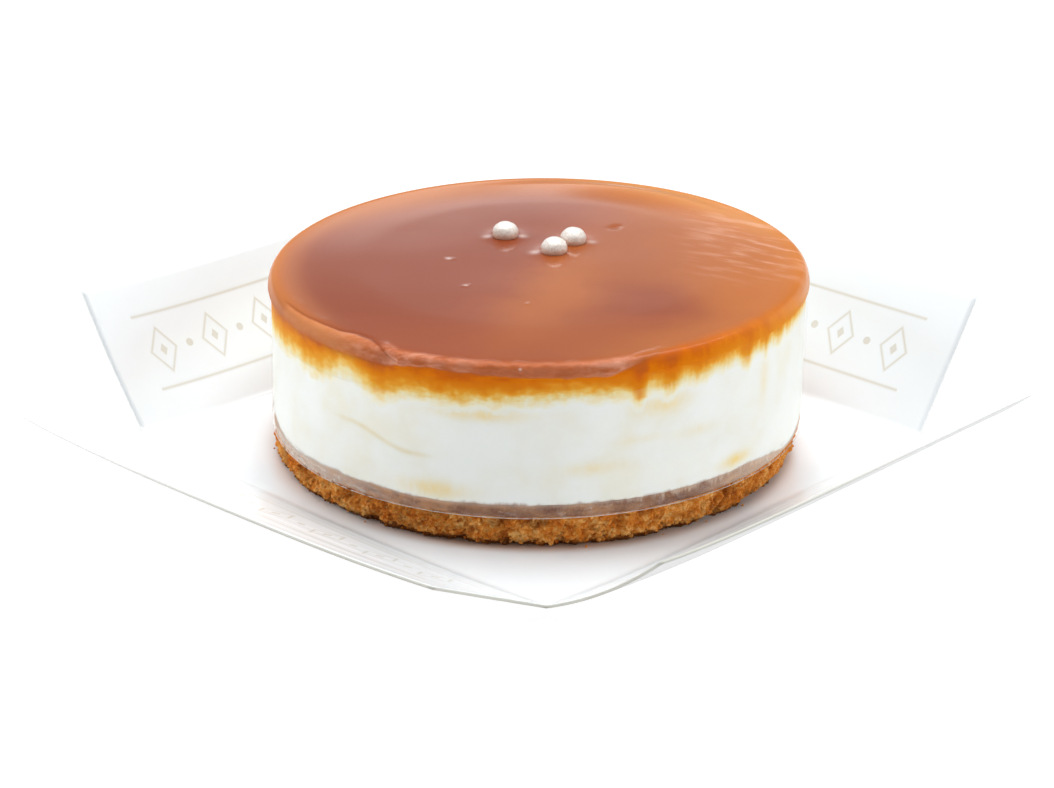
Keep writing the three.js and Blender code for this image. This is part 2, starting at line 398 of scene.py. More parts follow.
def crustMaterial():
    shader = Shader("biscuitCrumb")
    spot = shader.cakeSpot()
    rise = shader.attribute("rise")
    depth = shader.attribute("depth")
    broad = shader.noise(spot, 0.3, 3, 0.55)
    fine = shader.noise(spot, 1.7, 5, 0.7)
    [chip] = shader.parts(shader.cells(spot, 1.2, 1), "X")
    tone = broad * 0.4 + fine * 0.48 + chip * 0.12
    body = shader.ramp(tone.above(0.34, 0.64), [
        (0.0, srgb(200, 102, 24)), (0.35, srgb(224, 132, 43)),
        (0.7, srgb(236, 154, 67)), (1.0, srgb(250, 192, 112)),
    ])
    flecks = shader.noise(spot, 2.3, 2, 0.5, (1, 1, 1.5)).above(0.61, 0.68)
    body = shader.colour(flecks * 0.35, body, srgb(252, 208, 146))
    # painted shade in the clefts and hollows of the crust's relief
    body = shader.colour(depth * 0.5, body, srgb(124, 56, 10))
    x, y = shader.parts(spot, "XY")
    # painted shade: darker at the front left and towards the foot, where the crust lies in shadow
    left = (y.call("ARCTAN2", x) / degree).hump(-120, 17)
    paintedShade = left * 0.28 + (1 - rise.above(-6.6, -4.9)) * (0.9 + 0.2 * left)
    # painted shade of dark hollows low down at the front
    caves = shader.noise(spot, 0.5, 4, 0.65).above(0.53, 0.64)
    caves = caves * (1 - rise.above(-5.2, -2.2)) * (1 - y.above(-30, -20)) * 0.75
    paintedShade = (paintedShade * (0.3 + broad.above(0.25, 0.5) * 0.7) + caves).call("MINIMUM", 0.88)
    body = shader.colour(paintedShade, body, srgb(88, 42, 12))
    # the part behind the film, smeared with butter and cream
    patch = shader.noise(spot, 0.16, 4, 0.6, (1, 1, 2))
    behind = shader.ramp(patch.above(0.3, 0.7), [
        (0.0, srgb(130, 90, 74)), (0.5, srgb(154, 112, 88)), (1.0, srgb(186, 138, 102)),
    ])
    behind = shader.colour(fine.above(0.5, 0.7) * 0.25, behind, srgb(214, 176, 146))
    # paler towards both sides: painted sheen of the film where it turns away at a grazing angle
    sides = x.call("ABSOLUTE").above(24, 44)
    behind = shader.colour(sides * 0.75, behind, srgb(236, 206, 182))
    tanned = x.hump(-26, 11) * patch.above(0.35, 0.6)
    behind = shader.colour(tanned * 0.7, behind, srgb(206, 148, 102))
    smear = shader.noise(spot, 0.9, 3, 0.6, (1, 1, 0.2))
    streaked = shader.attribute("under") - (smear - 0.47) * 6 * x.above(8, 24)
    behind = shader.colour((1 - streaked.above(-0.2, 0.9)) * 0.5, behind, srgb(226, 206, 186))
    body = shader.colour(rise.above(-0.5, -0.35), body, behind)
    bumps = shader.bump(fine, 0.0006, 0.7)
    surface = shader.principled({
        "Base Color": body, "Roughness": 0.75, "Specular IOR Level": 0.15, "Normal": bumps,
    })
    return shader.finish(surface)


def makeCrumbs(material):  # grains that stand out of the crust, and loose ones round its foot
    rng = random.Random(crustSetup["seed"])
    foot, film = cakeSize["crustBottom"], cakeSize["filmBottom"]
    places = []
    for count in range(crustSetup["crumbs"]):
        angle = rng.uniform(-math.pi, math.pi)
        height = foot + 0.2 + (filmLow(angle) - 0.7 - foot) * rng.random()
        size = rng.choice(crustSetup["crumbSizes"])
        radius = min(crustRadius(angle, height), cakeSize["layerRadius"]) - size * 0.4
        lifted = max(height, foot + size * 0.7)
        spot = settle(radius * math.cos(angle), radius * math.sin(angle), lifted)
        spot.x += crustSetup["footShift"] * (1 - height / film)
        places.append((spot, size))
    for count in range(crustSetup["looseCrumbs"]):
        angle = rng.uniform(-math.pi, math.pi)
        size = rng.uniform(0.1, 0.24)
        radius = crustSetup["footRadius"] - 0.2 + abs(rng.gauss(0, 0.8))
        x, y = radius * math.cos(angle) + crustSetup["footShift"], radius * math.sin(angle)
        places.append((Vector((x, y, 0.5 + size * 0.6)), size))
    bm = bmesh.new()
    for start in range(0, len(places), 40):  # in batches, which keeps the operator quick
        batch = bmesh.new()
        for spot, size in places[start:start + 40]:
            addCrumb(batch, rng, spot, size)
        mesh = bpy.data.meshes.new("crumbBatch")
        batch.to_mesh(mesh)
        batch.free()
        bm.from_mesh(mesh)
        bpy.data.meshes.remove(mesh)
    rise = bm.verts.layers.float.new("rise")
    for vert in bm.verts:
        vert[rise] = -3
    return finishPiece(bm, "crustCrumbs", material, smooth=False)


def addCrumb(bm, rng, place, size):
    stretch = [rng.uniform(0.7, 1.35) for axis in range(3)]
    axis = Vector((rng.random(), rng.random(), 1)).normalized()
    turn = Matrix.Rotation(rng.uniform(0, math.pi), 4, axis)
    matrix = Matrix.Translation(place) @ turn @ Matrix.Diagonal((*stretch, 1))
    made = bmesh.ops.create_icosphere(bm, subdivisions=1, radius=size, matrix=matrix)
    for vert in made["verts"]:
        vert.co += Vector([rng.uniform(-0.2, 0.2) * size for axis in range(3)])


creamSetup = {
    "columns": 720,
    # where the cream reaches further down behind the film: angle, depth, half width
    "lows": [
        (-22, 2.0, 11), (-154, 1.0, 12), (-112, 0.35, 7),
        (32, 0.8, 15), (95, 0.4, 30), (150, 0.9, 16),
    ],
    # yellow stains behind the film: angle, height, half width, half height, strength
    "stains": [
        (-112, 11.3, 7, 1.6, 0.75), (-45, 11.6, 4, 1.1, 0.9), (-79, 16.1, 6, 1.2, 0.4),
        (-139, 28.2, 5, 1.4, 0.3), (-69, 20.6, 5, 0.9, 0.2), (-102, 26.3, 9, 1.2, 0.7),
        (-56, 20, 5, 1.2, 0.25), (-64, 26.4, 5, 1.8, 0.7), (-36, 25, 1.6, 4.5, 0.4),
        (38, 13, 7, 1.2, 0.6), (96, 17, 9, 1.5, 0.5), (150, 12, 6, 1.1, 0.7),
    ],
}

seamSetup = {
    "wander": 0.3,
    # the joint's steps inside the cake: distance in from the wall, share of its height
    "steps": [(1.2, 0.45), (4, 0.85), (9, 1)],
    # runs of caramel behind the film, negative where cream shows through:
    # angle, depth, half width
    "drips": [
        (-152, -0.6, 4), (-142, 0.5, 4), (-133.5, -1.8, 4), (-123.5, 1.3, 3), (-114, -0.6, 4),
        (-85, -0.7, 4), (-69.6, 2.6, 1.6), (-62.6, 1.6, 1.8), (-56, 0.9, 2), (-48, -0.4, 3),
        (-42, 1.4, 1.4), (-36, 1.6, 1.2), (-30, 0.8, 1.4), (-8, 1.4, 3), (16, 1.6, 4),
        (41, 2.4, 2.4), (58, -0.8, 5), (77, 2.2, 3), (104, 1.2, 5), (121, 2.4, 2.2),
        (152, 1.8, 4), (172, 2, 2.4),
    ],
}


@functools.cache
def creamFoot(angle):  # height of the cream's lower edge
    spot = ringSpot(angle, 5)
    ripple = 0.25 * noise.noise(spot / 5) + 0.12 * noise.noise(spot / 1.6)
    return cakeSize["crustTop"] + ripple - lobes(angle, creamSetup["lows"])


@functools.cache
def edgeHeight(angle):  # where the cream and caramel solids meet behind the film
    slope = cakeSize["caramelEdgeSlope"] * math.cos(angle)
    wander = seamSetup["wander"] * noise.noise(ringSpot(angle, 2, 8))
    return cakeSize["caramelEdge"] + slope + wander


@functools.cache
def dripDepth(angle):  # how far below that the caramel's colour runs
    spot = ringSpot(angle, 6, 8)
    ripple = 0.5 * noise.noise(spot * 2) + 0.3 * noise.noise(spot * 6)
    return ripple + lobes(angle, seamSetup["drips"])


def seamSteps():  # the hidden joint between cream and caramel, from the wall inwards
    outer, low, high = cakeSize["layerRadius"], cakeSize["caramelEdge"], cakeSize["seamTop"]
    return [(outer - inset, low + share * (high - low)) for inset, share in seamSetup["steps"]]


def creamShape(radius, height, angle):
    edge, foot = edgeHeight(angle), creamFoot(angle)
    low, high, top = cakeSize["crustTop"], cakeSize["caramelEdge"], cakeSize["seamTop"]
    if height > high:
        lifted = edge + (height - high) / (top - high) * (top - edge)
    else:
        lifted = foot + (height - low) / (high - low) * (edge - foot)
    return radius, lifted, lifted, lifted - edge + dripDepth(angle), lifted - foot


def makeCream():
    outer = cakeSize["layerRadius"]
    low, high, top = cakeSize["crustTop"], cakeSize["caramelEdge"], cakeSize["seamTop"]
    wall = finePath([(outer, low), (outer, high)], 0.45)
    profile = [(0, low), (outer - 6, low), *wall, *seamSteps(), (0, top)]
    bm = rollProfile(profile, creamSetup["columns"], creamShape, ("rise", "depth", "above"))
    return finishPiece(bm, "creamLayer", creamMaterial(), corner=40)


def seamColour(shader, spot, depth):
    # From cream to caramel behind the film, by the depth in millimetres below the seam's line;
    # both solids wear it, so the seam between them doesn't show.
    [x] = shader.parts(spot, "X")
    wisps = shader.noise(spot, 0.35, 4, 0.6, (1, 1, 1.6))
    runs = shader.noise(spot, 0.6, 4, 0.65, (1, 1, 0.2))
    right = x.above(8, 30)
    deep = depth + (wisps - 0.5) * (4.2 - 2.6 * right) + (runs - 0.5) * (0.8 + 2.9 * right)
    stops = [
        (0.0, srgb(242, 242, 236)), (0.14, srgb(243, 236, 212)), (0.27, srgb(243, 220, 160)),
        (0.38, srgb(240, 192, 98)), (0.5, srgb(232, 156, 44)), (0.66, srgb(222, 128, 16)),
        (1.0, srgb(214, 106, 3)),
    ]
    soft = 1 - x.above(-34, -16)
    return deep, shader.ramp((deep + 2 + soft * 0.8) / (7 + soft * 3.4), stops)


def creamMaterial():
    shader = Shader("cheeseCream")
    spot = shader.cakeSpot()
    rise = shader.attribute("rise")
    x, y = shader.parts(spot, "XY")
    angle = y.call("ARCTAN2", x) / degree
    cloud = shader.noise(spot, 0.12, 3, 0.5)
    wisps = shader.noise(spot, 0.5, 4, 0.6, (1, 1, 0.5))
    stain = cloud.above(0.5, 0.75) * 0.1
    for place, height, wide, tall, strength in creamSetup["stains"]:
        spread = angle.hump(place, wide) * rise.hump(height, tall)
        stain = stain + spread * (wisps * 1.7 * strength)
    # a thin crease in the cream at the left
    crease = rise.hump(17.4 + 3.05 * (angle * -1).above(116.5, 131.5), 0.5)
    crease = crease * angle.above(-139, -130) * (1 - angle.above(-118, -109))
    crease = crease * (0.25 + wisps * 0.5)
    body = shader.colour(cloud.above(0.3, 0.7), srgb(243, 243, 238), srgb(240, 238, 228))
    body = shader.colour(stain.call("MINIMUM", 0.9), body, srgb(240, 212, 130))
    body = shader.colour(crease, body, srgb(222, 204, 152))
    deep, seam = seamColour(shader, spot, shader.attribute("depth"))
    body = shader.colour(deep.above(-2.4, -1.2), body, seam)
    smear = shader.noise(spot, 0.9, 3, 0.6, (1, 1, 0.2))
    foot = shader.attribute("above") + (smear - 0.5) * 1.2 + (cloud - 0.5)
    body = shader.colour(1 - foot.above(-0.5, 0.5), body, srgb(166, 128, 108))
    surface = shader.principled({
        "Base Color": body, "Roughness": 0.45, "Subsurface Weight": 0.15,
        "Subsurface Radius": (1, 0.8, 0.5), "Subsurface Scale": 0.002,
    })
    return shader.finish(surface)


caramelSetup = {
    "columns": 760,
    "overhang": 50.15,
    # the shoulder's length, and its corner: wide and round, or upright and tight at the front
    "shoulder": 4.1,
    "wideCorner": 3.4,
    "upright": 2.2,
    "tightCorner": 1.2,
    "domeStart": 32,
    "domeDrop": 0.35,
    "swelling": [(66, 0.4, 22)],  # at the rear rim: angle, height, half width
    # the front lip's bead, and how far its waves and wrinkles stand out
    "bead": 0.18,
    "beadWave": 0.45,
    "beadWrinkle": 0.25,
    "creaseDepth": 0.16,
    # along the shoulder from the film's edge, in millimetres, at each angle round the cake:
    # where the sheen begins, over what half width, and where the crease at the left runs
    "sheen": [
        (-180, 0), (-155, 0), (-122, 0.1), (-117, 1.0), (-112, 1.5), (-105, 1.2), (-96, 1.1),
        (-87, 0.75), (-76, 0.5), (-74, 1.1), (-70, 2.2), (-66, 2.8), (-62, 3.1), (-50, 3.0),
        (-41, 2.7), (-35, 2.4), (-23, 1.6), (-13, 0), (180, 0),
    ],
    "sheenWidth": [
        (-180, 1.4), (-126, 0.9), (-118, 0.2), (-76, 0.2), (-66, 0.8), (-50, 2.2), (-20, 2),
        (180, 1.2),
    ],
    "crease": [
        (-180, 2.2), (-154.5, 2.55), (-147.5, 2.85), (-141.5, 3.15), (-136.5, 3.45), (-132.5, 4.1),
        (-128.5, 3.9), (-124.5, 3.0), (-120, 1.5), (-116, 1.0), (180, 1),
    ],
    # bubbles and pits in the top: x, y, half width, height
    "marks": [
        (-16.5, 1.5, 0.5, 0.08), (-13.2, -12.5, 0.45, 0.08), (14.5, 18, 0.8, -0.2),
        (-2, -22, 0.4, 0.05),
    ],
    # small bright glints: x, y, height, half width, strength
    "glints": [
        (-16.7, 1.5, 36.2, 0.55, 0.5), (-13.2, -12.5, 36.2, 0.4, 0.5),
        (-9.7, 13.2, 36.3, 0.9, 0.35), (-3.1, 13.2, 36.3, 0.9, 0.35),
        (-0.7, 4.5, 36.3, 1, 0.4), (10, 9.8, 36.3, 0.9, 0.3),
        (8.7, -50.3, 35.2, 0.4, 1), (10.9, -49.9, 35.4, 0.4, 1), (-3.2, -50.4, 35.4, 0.25, 0.7),
    ],
}


@functools.cache
def shoulderLines(angle):
    # The sheen's line and half width, the crease's line and strength, and how far the
    # shoulder is the front's tight bead.
    turned = angle / degree
    spot = ringSpot(angle, 6)
    front = smoothstep(turned, -126, -119) * (1 - smoothstep(turned, -76, -60))
    wobble = 0.25 * noise.noise(spot / 2.4) + 0.12 * noise.noise(spot)
    sheen = between(caramelSetup["sheen"], turned) + wobble
    crease = between(caramelSetup["crease"], turned) + 0.5 * wobble
    creased = smoothstep(turned, -160, -154) * (1 - smoothstep(turned, -121, -117))
    return sheen, between(caramelSetup["sheenWidth"], turned), crease, creased, front


def shoulderPoint(reach, front):  # radius and height that far along from the film's edge
    over, low = caramelSetup["overhang"], cakeSize["filmTop"]
    length, broad = caramelSetup["shoulder"], caramelSetup["wideCorner"]
    upright, sharp = caramelSetup["upright"], caramelSetup["tightCorner"]
    turn = min(1, reach / length) * math.pi / 2
    corner = min(max(0, (reach - upright) / sharp), math.pi / 2)
    inward = min(1, 1 - (reach - length) / (over - sharp))
    wide = over - broad + broad * math.cos(turn) ** 0.75
    high = low + broad * math.sin(turn) ** 0.85
    tight = over - sharp + sharp * math.cos(corner)
    steep = low + min(reach, upright) + sharp * math.sin(corner)
    return (wide + (tight - wide) * front) * inward, high + (steep - high) * front


def shoulderRelief(angle, reach):
    sheen, _, crease, creased, front = shoulderLines(angle)
    spot = ringSpot(angle, reach * 0.9)
    wave, wrinkle = noise.noise(spot / 2.6), noise.noise(spot / 0.9)
    bead = smoothstep(reach, sheen - 0.15, sheen + 0.45) * (1 - smoothstep(reach, 2.9, 5.0 + wave))
    waves = caramelSetup["beadWave"] * wave + caramelSetup["beadWrinkle"] * wrinkle
    relief = front * bead * (caramelSetup["bead"] + waves)
    relief -= creased * caramelSetup["creaseDepth"] * bell(reach - crease, 0.26)
    relief += creased * (1 - front) * 0.1 * noise.noise(spot / 3) * (1 - smoothstep(reach, 3, 5))
    return relief


def topRelief(x, y, radius, angle):
    relief = 0.035 * noise.noise(Vector((x, y, 0)) / 18)
    for markX, markY, half, rise in caramelSetup["marks"]:
        relief += rise * math.exp(-((x - markX) ** 2 + (y - markY) ** 2) / half ** 2)
    for pearlX, pearlY in pearlSetup["places"]:  # the caramel climbs each pearl a little
        away = math.hypot(x - pearlX, y - pearlY) - pearlSetup["contact"]
        relief += pearlSetup["climb"] * math.exp(-max(0, away) / 0.9)
    return relief + lobes(angle, caramelSetup["swelling"]) * smoothstep(radius, 34, 46)


def caramelShape(radius, height, reach, angle):
    edge = edgeHeight(angle)
    low, seam, filmTop = cakeSize["caramelEdge"], cakeSize["seamTop"], cakeSize["filmTop"]
    sheen, width, crease, creased, front = shoulderLines(angle)
    gloss = smoothstep(reach, sheen - width, sheen + width)
    line = creased * bell(reach - crease, 0.2)
    if reach < 0.01:
        top = seam if reach < -50 else filmTop
        lifted = edge + (height - low) / (top - low) * (top - edge)
        return radius, lifted, lifted - edge + dripDepth(angle), gloss, 0, line
    radius, height = shoulderPoint(reach, front)
    relief = shoulderRelief(angle, reach)
    upward = smoothstep(reach, 1.8, 4.2)
    onTop = smoothstep(reach, 3.5, 7)
    x, y = radius * math.cos(angle), radius * math.sin(angle)
    dome = -caramelSetup["domeDrop"] * smoothstep(radius, caramelSetup["domeStart"], 50)
    height += (relief + dome) * upward + topRelief(x, y, radius, angle) * onTop
    band = creased * (1 - front) * (1 - smoothstep(reach, crease - 0.5, crease + 0.1))
    lip = gloss * max(front * (1 - smoothstep(reach, 3.2, 5.4)), 0.8 * band)
    depth = height - edge + dripDepth(angle)
    return radius + relief * (1 - upward), height, depth, gloss, lip, line


def makeCaramel():
    # A profile point is a radius and height inside the film, then how far along the shoulder
    # and top it lies from the film's edge: less than 0 on the wall, and hidden on the seam.
    hidden = -99
    outer, length = cakeSize["layerRadius"], caramelSetup["shoulder"]
    low, seam, filmTop = cakeSize["caramelEdge"], cakeSize["seamTop"], cakeSize["filmTop"]
    under = [(radius, height, hidden) for radius, height in reversed(seamSteps())]
    wall = finePath([(outer, low, low - filmTop), (outer, filmTop, 0)], 0.45)
    profile = [(0, seam, hidden), *under, *wall]
    # start, end and step of the rows from the film's edge to the middle
    rows = [(0.18, length, 0.17), (4.4, 12, 0.4), (12.9, 30, 0.9), (30.6, 52.8, 0.55)]
    for start, end, step in rows:
        profile += finePath([(0, 0, start), (0, 0, end)], step)
    profile += [(0, 0, caramelSetup["overhang"] - caramelSetup["tightCorner"] + length)]
    names = ("depth", "gloss", "lip", "crease")
    bm = rollProfile(profile, caramelSetup["columns"], caramelShape, names)
    return finishPiece(bm, "caramelGlaze", caramelMaterial(), corner=50)


def caramelMaterial():  # bright behind the film, darker and glossy where the light lies on it
    shader = Shader("caramelGlaze")
    spot = shader.cakeSpot()
    gloss, lip, crease = [shader.attribute(name) for name in ("gloss", "lip", "crease")]
    x, y = shader.parts(spot, "XY")
    deep, wall = seamColour(shader, spot, shader.attribute("depth"))
    right = x.above(22, 46)
    wall = shader.colour(right * deep.above(1, 3) * 0.4, wall, srgb(226, 148, 52))
    wall = shader.colour(deep.above(3.6, 6.6) * (0.8 - 0.5 * right), wall, srgb(186, 90, 36))

    # the top, dark red-brown at the left and golden at the right, with cloudy borders
    cloud = shader.noise(spot, 0.05, 3, 0.55)
    streak = shader.noise(spot, 0.09, 4, 0.6, (0.5, 1.6, 1))
    bentX, bentY = x + (cloud - 0.5) * 14, y + (streak - 0.5) * 14
    radial = (x * x + y * y).call("SQRT")
    tone = 0.06 + bentX.above(-5, 48) * 0.82 + (1 - bentY.above(-46, -15)) * 0.18
    tone = tone + (bentX - bentY * 0.22).hump(5.8, 8.5) * bentY.hump(-14, 24) * 0.48
    tone = tone - bentX.hump(21.5, 9) * bentY.hump(-24, 10) * 0.3
    tone = tone + radial.above(29, 46) * y.above(5, 40) * 0.75
    tone = tone + radial.above(39, 49) * y.above(-30, 5) * 0.25
    tone = tone - x.above(14, 38) * (1 - y.above(-42, -18)) * 0.2
    top = shader.ramp(tone / 1.4, [
        (0.0, (0.22, 0.036, 0.008)), (0.18, (0.285, 0.058, 0.013)), (0.39, (0.37, 0.094, 0.015)),
        (0.71, (0.48, 0.134, 0.016)), (1.0, (0.58, 0.2, 0.028)),
    ])
    # the lip at the front and left, with painted highlights in patches on its bead, and the paler
    # rims
    patchy = shader.noise(spot, 0.45, 3, 0.6, (0.4, 1, 1.6))
    top = shader.colour(lip * 0.7, top, (0.5, 0.135, 0.047))
    # where the bead's painted highlights are strongest, across the front
    lipHighlightPlaces = x.hump(-24, 11) + x.hump(13.5, 4.5) + 0.25
    top = shader.colour(lip * lipHighlightPlaces * patchy.above(0.3, 0.7) * 0.6, top, (0.72, 0.34, 0.23))
    top = shader.colour(lip * (1 - x.above(-40, -26)) * 0.75, top, (0.64, 0.26, 0.1))
    # painted highlight along the right rim, where it turns away at a grazing angle
    top = shader.colour(radial.above(48.5, 50.2) * x.above(34, 46) * 0.5, top, (0.8, 0.45, 0.26))
    # more orange towards the left rim, and a painted highlight along the rear rim
    rim = radial.above(42, 50) * (1 - x.above(-46, -30)) * 0.55
    rim = rim + radial.above(47, 50.2) * y.above(-25, 5) * 0.4
    top = shader.colour(rim * (1 - lip), top, (0.6, 0.21, 0.06))
    body = shader.colour(gloss, wall, top)
    # painted shade along the crease at the left
    body = shader.colour(crease * 0.5, body, (0.2, 0.04, 0.008))
    # glints painted into the colour: on the bubbles, beside the pearls and on the lip
    glint = 0
    for glintX, glintY, height, half, strength in caramelSetup["glints"]:
        glint = shader.near(spot, settle(glintX, glintY, height), half) * strength + glint
    body = shader.colour(glint.call("MINIMUM", 1), body, (0.92, 0.78, 0.72))

    # fine ripples at the right rear, with a painted sheen on their crests
    ripples = shader.noise(shader.tilted(spot, 27), 0.36, 4, 0.52, (0.32, 1.4, 1))
    rippled = x.above(22, 42) * y.above(-16, 2) * (1 - y.above(20, 34))
    rippleSheen = ripples.above(0.46, 0.7) * rippled * gloss
    body = shader.colour(rippleSheen * 0.35, body, (0.86, 0.5, 0.36))
    waves = ripples * rippled * 1.8 + shader.noise(spot, 0.3, 3, 0.5) * 0.08
    waves = waves + shader.noise(spot, 1.4, 3) * lip
    surface = shader.principled({
        "Base Color": body, "Roughness": 0.5, "Specular IOR Level": 0.02,
        "Normal": shader.bump(waves, 0.0004, 0.35),
        "Coat Weight": gloss * (1 - lip * 0.8) * (1 - radial.above(45.5, 50) * 0.6),
        "Coat Roughness": 0.12, "Coat IOR": 1.46,
        "Subsurface Weight": 0.08, "Subsurface Radius": (1, 0.35, 0.08), "Subsurface Scale": 0.002,
    })
    return shader.finish(surface)


pearlSetup = {
    "radius": 2.5,
    "squash": 0.85,
    "rise": 0.8,
    "places": [(-6.3, 13.3), (2.9, 4.6), (6.5, 9.8)],
    # where the caramel round a pearl begins to climb it, and how far it climbs
    "contact": 2.1,
    "climb": 0.22,
}


def makePearls():
    bm = bmesh.new()
    size = pearlSetup["radius"]
    for x, y in pearlSetup["places"]:
        centre = settle(x, y, cakeSize["caramelTop"] + pearlSetup["rise"])
        matrix = Matrix.Translation(centre) @ Matrix.Diagonal((1, 1, pearlSetup["squash"], 1))
        made = bmesh.ops.create_icosphere(bm, subdivisions=5, radius=size, matrix=matrix)
        for vert in made["verts"]:
            out = (vert.co - centre).normalized()
            vert.co += out * (0.05 * noise.noise(vert.co * 1.4) + 0.015 * noise.noise(vert.co * 6))
    return finishPiece(bm, "sugarPearls", pearlMaterial())


def pearlMaterial():
    shader = Shader("pearlySugar")
    spot = shader.cakeSpot()
    grain = shader.noise(spot, 3.5, 4, 0.6)
    [z] = shader.parts(spot, "Z")
    body = shader.colour(grain.above(0.4, 0.7), srgb(246, 240, 232), srgb(224, 206, 190))
    # painted warm reflection of the caramel on the pearls' lower halves
    body = shader.colour((1 - z.above(35.9, 38.4)) * 0.8, body, srgb(226, 178, 144))
    surface = shader.principled({
        "Base Color": body, "Metallic": 0.1, "Roughness": 0.3,
        "Normal": shader.bump(grain, 0.0002, 0.4), "Coat Weight": 0.6, "Coat Roughness": 0.1,
    })
    return shader.finish(surface)


filmSetup = {
    "thickness": 0.12,
    "frontRise": 0.5,
    # where its ends overlap, in degrees, and how far the outer end stands off
    "lapAngle": 70,
    "lap": 14,
    "lapLift": 0.45,
    "stations": 560,
    "rows": 26,
}


def filmLow(angle):  # its lower edge stands a little higher at the front
    return cakeSize["filmBottom"] + filmSetup["frontRise"] * max(0, -math.sin(angle))


def makeFilm():
    sweep = 360 + filmSetup["lap"]
    stations, rows = filmSetup["stations"], filmSetup["rows"]
    bm = bmesh.new()
    bmesh.ops.create_grid(bm, x_segments=stations, y_segments=rows, size=0.5)
    high = cakeSize["filmTop"]
    rise = bm.verts.layers.float.new("rise")
    for vert in bm.verts:
        along = (vert.co.x + 0.5) * sweep
        angle = (filmSetup["lapAngle"] + along) * degree
        low = filmLow(angle)
        height = low + (vert.co.y + 0.5) * (high - low)
        lifted = smoothstep(along, 360 - filmSetup["lap"], 360)
        radius = cakeSize["filmRadius"] + lifted * filmSetup["lapLift"]
        vert[rise] = height - low
        vert.co = settle(radius * math.cos(angle), radius * math.sin(angle), height)
    bmesh.ops.solidify(bm, geom=bm.faces, thickness=filmSetup["thickness"])
    return finishPiece(bm, "filmCollar", filmMaterial())


def filmMaterial():  # clear but for a haze low down, its cut edges and the sheen of grazing light
    shader = Shader("clearFilm")
    spot = shader.cakeSpot()
    rise = shader.attribute("rise")
    streak = shader.noise(spot, 0.4, 4, 0.65, (1, 1, 2.5))
    [x] = shader.parts(spot, "X")
    facing = shader.node("LayerWeight", {}, {"Blend": 0.5}, 1)
    left = (1 - x.above(-46, -18)) * (0.2 + streak.above(0.35, 0.65) * 0.3)
    haze = (1 - rise.above(1.8, 3.2)) * (streak.above(0.5, 0.8) * 0.25 + left)
    rim = (1 - rise.above(0.1, 0.22)) * 0.55
    veil = (haze + rim + facing ** 5 * 0.04 + 0.003).call("MINIMUM", 0.95)
    clear = shader.node("BsdfTransparent", {}, ((1, 1, 1, 1),))
    gloss = shader.principled({"Base Color": (0.93, 0.86, 0.8, 1), "Roughness": 0.12})
    return shader.finish(shader.node("MixShader", {}, (veil, clear, gloss)))


traySetup = {
    "side": 104.2,
    "flapWidth": 29.4,
    "thickness": 0.5,
    "flatRadius": 46,
    "lift": {"left": 1.8, "front": 1.6, "right": 0, "back": 0.4},
    # lean of each flap at the start and end of its crease, and the card's curl, in degrees
    "flaps": [(24.5, 24.3, 18.5), (55.6, 49, 0), (46, 51.5, 8.5), (22.7, 25.9, 0)],
    "baseCells": 78,
    "flapCells": 24,
    # the printed border: length of one repeat, and how far out from the crease its middle
    # and its two rules lie, then how far along the crease it runs from the middle
    "repeat": 13,
    "middle": 14.5,
    "rules": (7, 22),
    "borderEnd": 43.4,
}


def baseHeight(x, y):
    half, flat, lift = traySetup["side"] / 2, traySetup["flatRadius"], traySetup["lift"]
    beyond = max(0, math.hypot(x, y) - flat) / (math.sqrt(2) * half - flat)
    right, back = 0.5 + x / (2 * half), 0.5 + y / (2 * half)
    front = lift["left"] * (1 - right) + lift["front"] * right
    rear = lift["back"] * (1 - right) + lift["right"] * right
    return (front * (1 - back) + rear * back) * beyond ** 2


def foldPoint(x, y):  # where a point of the flat blank lies once it is folded
    half, width = traySetup["side"] / 2, traySetup["flapWidth"]
    thick = traySetup["thickness"]
    sides = [(1, 0), (0, 1), (-1, 0), (0, -1)]
    for (dx, dy), (startLean, endLean, curl) in zip(sides, traySetup["flaps"]):
        out = x * dx + y * dy - half
        if out < 0.001:
            continue
        creaseX, creaseY = x - out * dx, y - out * dy
        along = 0.5 + (creaseY * dx - creaseX * dy) / (2 * half)
        lean = (startLean + (endLean - startLean) * along + curl * out / (2 * width)) * degree
        reach = out * math.cos(lean)
        height = baseHeight(creaseX, creaseY) + thick + out * math.sin(lean)
        return Vector((creaseX + reach * dx, creaseY + reach * dy, height))
    return Vector((x, y, baseHeight(x, y) + thick))


def makeTray():
    half, width = traySetup["side"] / 2, traySetup["flapWidth"]
    baseCells, flapCells = traySetup["baseCells"], traySetup["flapCells"]
    cells = baseCells + 2 * flapCells
    bm = bmesh.new()
    bmesh.ops.create_grid(bm, x_segments=cells, y_segments=cells, size=cells / 2)
    middles = [(face, face.calc_center_median()) for face in bm.faces]
    nearer = [(face, min(abs(middle.x), abs(middle.y))) for face, middle in middles]
    corners = [face for face, away in nearer if away > baseCells / 2]
    bmesh.ops.delete(bm, geom=corners, context="FACES")
    blank = bm.loops.layers.uv.new("blank")

    def place(value):  # a line of the grid, in millimetres of the flat blank
        away = abs(value) - baseCells / 2
        size = half + away / flapCells * width if away > 0 else abs(value) / (baseCells / 2) * half
        return math.copysign(size, value)

    for vert in bm.verts:
        vert.co = Vector((place(round(vert.co.x)), place(round(vert.co.y)), 0))
    for face in bm.faces:
        for loop in face.loops:
            loop[blank].uv = loop.vert.co.xy / 100
    for vert in bm.verts:
        vert.co = foldPoint(vert.co.x, vert.co.y)
    card = finishPiece(bm, "trayCard", cardMaterial(), place=trayPlace, outward=False)
    card.data.materials.append(cutCardMaterial())
    card.data.materials.append(backCardMaterial())
    thicken = card.modifiers.new("thickness", "SOLIDIFY")
    thicken.thickness = traySetup["thickness"] * millimetre
    thicken.offset = -1
    thicken.use_even_offset = True
    thicken.material_offset_rim = 1
    thicken.material_offset = 2
    return card


